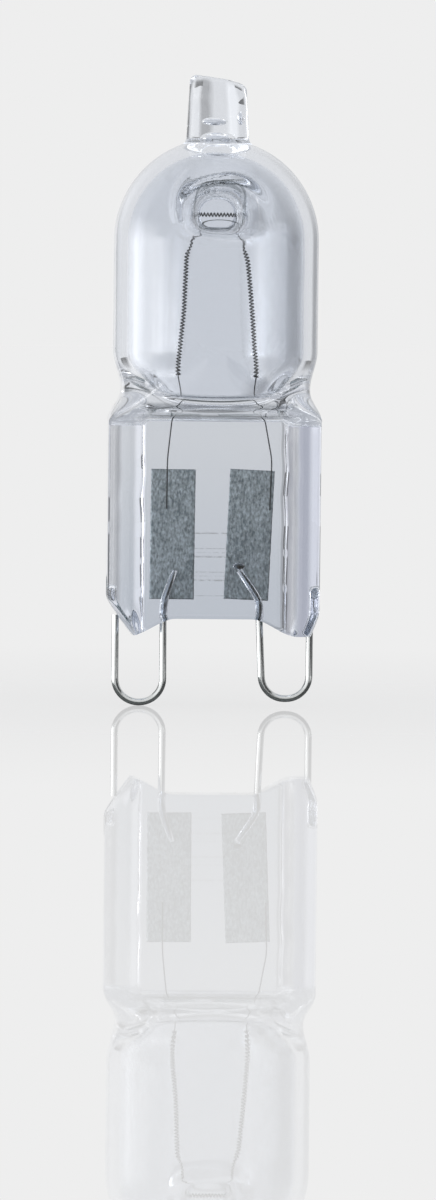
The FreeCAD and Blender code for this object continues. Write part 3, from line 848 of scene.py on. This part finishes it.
def painted_seal_shade(tree, axes):
    """Painted shade: dark patches on the hollow round each lead, on its right and towards its weld."""
    marks = []
    for weld, bend, _ in (LEFT_LEAD, RIGHT_LEAD):
        slope = (weld[0] - bend[0]) / (weld[1] - bend[1])
        above = calculated(tree, "MAXIMUM", calculated(tree, "SUBTRACT", axes["Z"], bend[1] * MM), 0.0)
        middle = calculated(tree, "MULTIPLY_ADD", above, slope, bend[0] * MM)
        beside = calculated(tree, "SUBTRACT", axes["X"], middle)
        sides = [fading(tree, beside, limits) for limits in (SEAL_RIGHT, SEAL_SIDE)]
        marks.append(chained(tree, "MULTIPLY", sides))
    masks = [
        chained(tree, "MAXIMUM", marks),
        mapped(tree, grain(tree, (1500, 1500, 900), 3), 0.34, 0.44),
        fading(tree, apart(tree, axes["Y"], 0.0), SEAL_DEPTH),
        fading(tree, axes["Z"], SEAL_TOP),
    ]
    return chained(tree, "MULTIPLY", masks)


def right_bead_painted_shade(tree, axes):
    """Painted shade: darker middle of the bead on the right."""
    masks = [fading(tree, axes["X"], limits) for limits in (BEAD_SHADE_LEFT, BEAD_SHADE_RIGHT)]
    return chained(tree, "MULTIPLY", masks + [fading(tree, axes["Z"], IN_PINCH)])


def painted_bead_highlights(tree, axes):
    """Painted highlights along the thin edges of the beads: the outermost glass and the flanks beside the
    web.
    """
    across = apart(tree, axes["X"], 0.0)
    flank = fading(tree, apart(tree, across, BEAD_FLANK * MM), BEAD_FLANK_WIDTH)
    edges = calculated(tree, "MAXIMUM", flank, fading(tree, across, BEAD_RIM))
    return calculated(tree, "MULTIPLY", edges, fading(tree, axes["Z"], IN_PINCH))


def reach_of(tree, axes, place, halves, power):
    """Reach from a place in the middle plane, 1 on an outline with these half sizes."""
    parts = []
    for axis, middle, half in zip(("X", "Z"), place, halves):
        away = calculated(tree, "DIVIDE", apart(tree, axes[axis], middle * MM), half * MM)
        parts.append(calculated(tree, "POWER", away, power))
    return calculated(tree, "POWER", chained(tree, "ADD", parts), 1 / power)


def line_at(tree, reach, width):
    """Soft line where a reach is 1."""
    return mapped(tree, apart(tree, reach, 1.0), width, 0.3 * width)


def painted_dent_lines(tree, axes):
    """Painted dark lines that stand in for the dents' refraction: round the nose, round the dimple under it,
    and a painted dark crescent under its brow.
    """
    nose = line_at(tree, reach_of(tree, axes, NOSE_PLACE, NOSE_HALVES, 3.2), 0.075)
    dimple = line_at(tree, reach_of(tree, axes, DIMPLE_PLACE, DIMPLE_HALVES, 2.0), 0.09)
    over = mapped(tree, reach_of(tree, axes, BROW_PLACE, BROW_HALVES, 2.0), 1.03, 0.97)
    under = mapped(tree, reach_of(tree, axes, BROW_PLACE, BROW_INNER_HALVES, 2.0), 0.97, 1.03)
    brow = chained(tree, "MULTIPLY", [over, under, fading(tree, axes["Z"], BROW_BOTTOM), 0.95])
    return calculated(tree, "MULTIPLY", chained(tree, "MAXIMUM", [nose, dimple, brow]), 0.92)


def painted_shoulder_shade(tree, axes):
    """Painted shade: two dark level lines across the shoulder, sagging a little in the middle."""
    sag = chained(tree, "MULTIPLY", [axes["X"], axes["X"], SHOULDER_SAG])
    level = calculated(tree, "SUBTRACT", axes["Z"], sag)
    lines = []
    for height, width in SHOULDER_LINES:
        lines.append(fading(tree, apart(tree, level, height * MM), (width, 0.4 * width)))
    streaks = mapped(tree, grain(tree, (500, 500, 6000), 2), 0.3, 0.55, 0.35, 1.0)
    inside = fading(tree, apart(tree, axes["X"], 0.0), SHOULDER_SIDE)
    return chained(tree, "MULTIPLY", [chained(tree, "MAXIMUM", lines), streaks, inside])


def long_caught(tree):
    """1 for light that has been turned back between the walls too often to be followed further."""
    path = tree.nodes.new("ShaderNodeLightPath")
    turned = calculated(tree, "GREATER_THAN", path.outputs["Glossy Depth"], MOST_MIRRORED - 0.5)
    passed = calculated(tree, "GREATER_THAN", path.outputs["Ray Depth"], MOST_PASSED - 0.5)
    return calculated(tree, "MAXIMUM", turned, passed)


def quartz_material():
    f = settings().finish
    material, tree, shader = new_material("clear_quartz")
    axes = object_axes(tree)
    pinch = mixed(tree, fading(tree, axes["Z"], FOOT_TINT), f.quartz_pinch, f.quartz_foot)
    tint = mixed(tree, fading(tree, axes["Z"], PINCH_TINT), f.quartz, pinch)
    # Painted shade and highlights go over the glass's tint here: the right bead's shade, the beads'
    # highlights, the dent lines, the shoulder lines and the seal patches; the press marks are the glass's
    # own.
    marks = (
        (right_bead_painted_shade, f.bead_painted_shade),
        (painted_bead_highlights, f.bead),
        (painted_dent_lines, f.dent_painted_line),
        (painted_shoulder_shade, f.shoulder_painted_shade),
        (press_marks, f.press_mark),
        (painted_seal_shade, f.seal_painted_shade),
    )
    for mark, shade in marks:
        tint = mixed(tree, mark(tree, axes), tint, shade)
    tree.links.new(tint, shader.inputs["Base Color"])
    shader.inputs["Transmission Weight"].default_value = 1.0
    shader.inputs["IOR"].default_value = 1.46
    shader.inputs["Roughness"].default_value = 0.0
    tree.links.new(bumped(tree, grain(tree, (260, 260, 260), 1), 0.1, 0.2 * MM), shader.inputs["Normal"])
    # Painted glow: the glass gives off this colour on paths cut off after many bounces, lighter in the tip.
    glow = mixed(tree, fading(tree, axes["Z"], TIP_GLOW), f.caught_light, f.tip_light)
    tree.links.new(mixed(tree, long_caught(tree), (0, 0, 0), glow), shader.inputs["Emission Color"])
    shader.inputs["Emission Strength"].default_value = 1.0
    material.cycles.emission_sampling = "NONE"
    return material


def dulled(tint, amount):
    return tuple(amount * channel for channel in tint)


def tungsten_material():
    f = settings().finish
    material, tree, shader = new_material("drawn_tungsten")
    drawn = mixed(tree, grain(tree, (3000, 3000, 3000), 3), dulled(f.tungsten, 0.55), f.tungsten)
    tree.links.new(drawn, shader.inputs["Base Color"])
    shader.inputs["Metallic"].default_value = 1.0
    shader.inputs["Roughness"].default_value = 0.4
    return material


def foil_material():
    f = settings().finish
    material, tree, shader = new_material("etched_molybdenum")
    etching = grain(tree, (6500, 6500, 3400), 5)
    cloud = grain(tree, (420, 420, 420), 2)
    weighted = [calculated(tree, "MULTIPLY", layer, part) for layer, part in ((etching, 0.7), (cloud, 0.3))]
    mottle = mapped(tree, chained(tree, "ADD", weighted), 0.4, 0.63)
    tree.links.new(mixed(tree, mottle, f.foil_dark, f.foil_light), shader.inputs["Base Color"])
    shader.inputs["Metallic"].default_value = 0.8
    tree.links.new(mapped(tree, cloud, 0.3, 0.7, 0.4, 0.6), shader.inputs["Roughness"])
    tree.links.new(bumped(tree, etching, 0.5, 0.06 * MM), shader.inputs["Normal"])
    return material


def wire_material():
    f = settings().finish
    material, tree, shader = new_material("polished_pin_wire")
    streaks = grain(tree, (2600, 2600, 260), 3)
    tree.links.new(mixed(tree, streaks, dulled(f.wire, 0.8), f.wire), shader.inputs["Base Color"])
    shader.inputs["Metallic"].default_value = 1.0
    tree.links.new(mapped(tree, streaks, 0.3, 0.7, 0.14, 0.24), shader.inputs["Roughness"])
    return material


# Stage


def seen_ray(tree):
    """1 for camera, glossy and transmission rays, which see the plain backdrop."""
    path = tree.nodes.new("ShaderNodeLightPath")
    names = ("Is Camera Ray", "Is Glossy Ray", "Is Transmission Ray")
    return chained(tree, "MAXIMUM", [path.outputs[name] for name in names])


def light_world():
    world = bpy.data.worlds.new("studio")
    bpy.context.scene.world = world
    world.use_nodes = True
    tree = world.node_tree
    tint = mixed(tree, seen_ray(tree), ROOM_LIGHT, settings().finish.backdrop)
    tree.links.new(tint, tree.nodes["Background"].inputs["Color"])


def blended(tree, factor, first, second):
    """Mix of two shader sockets by a factor socket."""
    node = tree.nodes.new("ShaderNodeMixShader")
    for value, socket in zip((factor, first, second), node.inputs):
        tree.links.new(value, socket)
    return node.outputs["Shader"]


def floor_material():
    """Pale floor that merges with the backdrop, keeps a soft shadow and mirrors the bulb faintly."""
    s = settings()
    material, tree, shader = new_material("pale_floor")
    tree.nodes.remove(shader)
    coordinates = tree.nodes.new("ShaderNodeTexCoord")
    distance = tree.nodes.new("ShaderNodeVectorMath")
    distance.operation = "LENGTH"
    tree.links.new(coordinates.outputs["Object"], distance.inputs[0])
    away = distance.outputs["Value"]
    matte = tree.nodes.new("ShaderNodeBsdfDiffuse")
    matte.inputs["Color"].default_value = (*s.finish.backdrop, 1)
    plain = tree.nodes.new("ShaderNodeEmission")
    plain.inputs["Color"].default_value = (*s.finish.backdrop, 1)
    mirror = tree.nodes.new("ShaderNodeBsdfGlossy")
    mirror.inputs["Roughness"].default_value = 0.0
    glossy = tree.nodes.new("ShaderNodeLightPath").outputs["Is Glossy Ray"]
    # Painted dark reflection: close round the bulb the floor's mirror turns dark for glossy rays, so that the
    # pins' undersides mirror dark.
    under = calculated(tree, "MULTIPLY", mapped(tree, away, *FLOOR_DARK_REACH), glossy)
    tree.links.new(mixed(tree, under, (1, 1, 1), FLOOR_DARK), mirror.inputs["Color"])
    near = mapped(tree, away, *FLOOR_SHADE_REACH, FLOOR_SHADE, 0.0)
    shaded = blended(tree, near, plain.outputs["Emission"], matte.outputs["BSDF"])
    gloss = mapped(tree, glossy, 0, 1, s.stage.reflection, MIRRORED_AGAIN)
    polished = blended(tree, gloss, shaded, mirror.outputs["BSDF"])
    chosen = blended(tree, seen_ray(tree), matte.outputs["BSDF"], polished)
    tree.links.new(chosen, tree.nodes["Material Output"].inputs["Surface"])
    return material


def staged_sheet(name, width, depth, material):
    """Flat sheet of the stage."""
    bm = bmesh.new()
    bmesh.ops.create_grid(bm, x_segments=1, y_segments=1, size=0.5)
    bmesh.ops.scale(bm, vec=(width, depth, 1), verts=bm.verts)
    mesh = bpy.data.meshes.new(name)
    bm.to_mesh(mesh)
    bm.free()
    sheet = bpy.data.objects.new(name, mesh)
    sheet.data.materials.append(material)
    bpy.context.scene.collection.objects.link(sheet)
    return sheet


def off_the_floor(tree):
    """1 for rays that come straight off the floor's mirror, so that it shows the bulb and not the cards."""
    surface = tree.nodes.new("ShaderNodeNewGeometry").outputs
    path = tree.nodes.new("ShaderNodeLightPath").outputs
    heights = []
    for name in ("Position", "Incoming"):
        parts = tree.nodes.new("ShaderNodeSeparateXYZ")
        tree.links.new(surface[name], parts.inputs["Vector"])
        heights.append(parts.outputs["Z"])
    start = calculated(tree, "MULTIPLY_ADD", heights[1], path["Ray Length"], heights[0])
    low = calculated(tree, "LESS_THAN", start, FLOOR_SKIN)
    first = calculated(tree, "LESS_THAN", path["Ray Depth"], 1.5)
    return chained(tree, "MULTIPLY", [low, path["Is Glossy Ray"], first])


def card_cloth(name, glow, soft_side, soft_top):
    """Evenly lit cloth, soft towards its sides, top and bottom, and clear from behind."""
    material, tree, shader = new_material(name + "_cloth")
    tree.nodes.remove(shader)
    axes = object_axes(tree)
    behind = tree.nodes.new("ShaderNodeNewGeometry").outputs["Backfacing"]
    hidden = calculated(tree, "MAXIMUM", behind, off_the_floor(tree))
    masks = [calculated(tree, "SUBTRACT", 1.0, hidden)]
    for axis, soft in (("X", soft_side), ("Y", soft_top)):
        masks.append(mapped(tree, apart(tree, axes[axis], 0.0), 0.5, 0.5 - soft))
    light = tree.nodes.new("ShaderNodeEmission")
    light.inputs["Strength"].default_value = glow
    clear = tree.nodes.new("ShaderNodeBsdfTransparent")
    cloth = blended(tree, chained(tree, "MULTIPLY", masks), clear.outputs["BSDF"], light.outputs["Emission"])
    tree.links.new(cloth, tree.nodes["Material Output"].inputs["Surface"])
    return material


def hung_card(name, matrix, glow, soft_side, soft_top):
    """Card that only reflections and refractions see."""
    card = staged_sheet(name, 1.0, 1.0, card_cloth(name, glow, soft_side, soft_top))
    card.matrix_world = matrix
    card.visible_camera = False
    card.visible_shadow = False
    return card


def facing_card(name, place, size, glow, soft):
    """Card at a place of the studio, turned to the bulb."""
    facing = (CARD_AIM - Vector(place)).to_track_quat("Z", "Y").to_matrix().to_4x4()
    scale = Matrix.Diagonal((*size, 1, 1))
    return hung_card(name, Matrix.Translation(place) @ facing @ scale, glow, soft, CARD_FADE)


def studio_card(name, azimuth, size, glow, soft, distance=CARD_DISTANCE, height=CARD_HEIGHT):
    """Card round the bulb, by its angle from the front in degrees, positive to the right."""
    turn = math.radians(azimuth)
    place = (distance * math.sin(turn), -distance * math.cos(turn), height)
    return facing_card(name, place, size, glow, soft)


def pin_card(name, side, front, back, glow):
    """Low card beside the pins, just out of the picture, from the front to the back."""
    upright = Matrix(((0, 0, -side), (-side, 0, 0), (0, 1, 0))).to_4x4()
    place = Matrix.Translation((side * PIN_CARD_OUT, (front + back) / 2, PIN_CARD_HEIGHT / 2))
    scale = Matrix.Diagonal((back - front, PIN_CARD_HEIGHT, 1, 1))
    card = hung_card(name, place @ upright @ scale, glow, PIN_CARD_FADE, PIN_CARD_FADE)
    card.visible_diffuse = False
    return card


def hang_cards(s):
    """Hangs the bright and dark cards that the glass and the wires mirror."""
    key, strip = s.key, s.strip
    studio_card("key_left", -98, size=(0.5, 0.36), glow=0.85 * key, soft=0.2)
    studio_card("key_middle", -71, size=(0.08, 0.08), glow=1.7 * key, soft=0.25, distance=0.2, height=0.008)
    studio_card("key_low", -54, size=(0.075, 0.07), glow=1.9 * key, soft=0.25, distance=0.2, height=0.0)
    studio_card("strip_right", 48, size=(0.17, 0.5), glow=1.25 * strip, soft=0.35)
    facing_card("top", (0, -0.08, 0.6), size=(0.6, 0.6), glow=s.fill, soft=0.3)
    studio_card("flag_right", 98, size=(0.5, 0.4), glow=0.1, soft=0.25, distance=0.45)
    studio_card("grey_back_right", 162, size=(0.2, 0.5), glow=0.5, soft=0.3)
    studio_card("pale_back_left", -162, size=(0.2, 0.5), glow=1.05, soft=0.3)
    unseen = [
        studio_card("flag_back_right", 150, size=(0.3, 0.3), glow=0.1, soft=0.25),
        studio_card("flag_back_left", -150, size=(0.3, 0.3), glow=0.1, soft=0.25),
    ]
    pin_card("pin_dark_right", 1, front=-0.12, back=0.008, glow=0.06)
    pin_card("pin_pale_left", -1, front=-0.12, back=-0.001, glow=1.25)
    unseen.append(pin_card("pin_dark_left", -1, front=0.003, back=0.06, glow=0.08))
    for card in unseen:
        card.visible_transmission = False


def set_camera(s, scene):
    """Sets the camera at the photograph's angle."""
    view = Matrix.Rotation(s.azimuth, 4, "Z") @ Matrix.Rotation(math.pi / 2 - s.elevation, 4, "X")
    view = view @ Matrix.Rotation(s.roll, 4, "Z")
    aim = Vector((s.aim_side * math.cos(s.azimuth), s.aim_side * math.sin(s.azimuth), s.aim_level))
    lens = bpy.data.cameras.new("camera")
    lens.sensor_fit = "VERTICAL"
    lens.lens = lens.sensor_height * s.distance / s.view_height
    lens.clip_start = NEAREST_SEEN
    camera = bpy.data.objects.new("camera", lens)
    camera.matrix_world = Matrix.Translation(aim + view.to_3x3() @ Vector((0, 0, s.distance))) @ view
    scene.collection.objects.link(camera)
    scene.camera = camera


class BULB_OT_stage(Operator):
    """Lay the floor, hang the cards and place the camera"""

    bl_idname = "bulb.stage"
    bl_label = "Stage"

    def execute(self, context):
        s = settings().stage
        context.scene.view_settings.view_transform = "Standard"
        light_world()
        staged_sheet("floor", FLOOR_SIDE, FLOOR_SIDE, floor_material())
        hang_cards(s)
        set_camera(s, context.scene)
        return {"FINISHED"}


class BULB_PT_panel(Panel):
    """Lists the steps that build the bulb"""

    bl_idname = "BULB_PT_panel"
    bl_label = "Halogen capsule bulb"
    bl_space_type = "VIEW_3D"
    bl_region_type = "UI"
    bl_category = "Bulb"

    def draw(self, context):
        for operator in OPERATORS:
            self.layout.operator(operator.bl_idname)


GROUPS = (EnvelopeSettings, WireSettings, FinishSettings, StageSettings, BulbSettings)
OPERATORS = (BULB_OT_envelope, BULB_OT_filament, BULB_OT_foils, BULB_OT_leads, BULB_OT_stage)


def register():
    for item in GROUPS + OPERATORS + (BULB_PT_panel,):
        bpy.utils.register_class(item)
    bpy.types.Scene.halogen_bulb = PointerProperty(type=BulbSettings)


def unregister():
    del bpy.types.Scene.halogen_bulb
    for item in reversed(GROUPS + OPERATORS + (BULB_PT_panel,)):
        bpy.utils.unregister_class(item)


def main():
    register()
    bpy.ops.bulb.envelope()
    bpy.ops.bulb.filament()
    bpy.ops.bulb.foils()
    bpy.ops.bulb.leads()
    bpy.ops.bulb.stage()


if __name__ == "__main__":
    main()
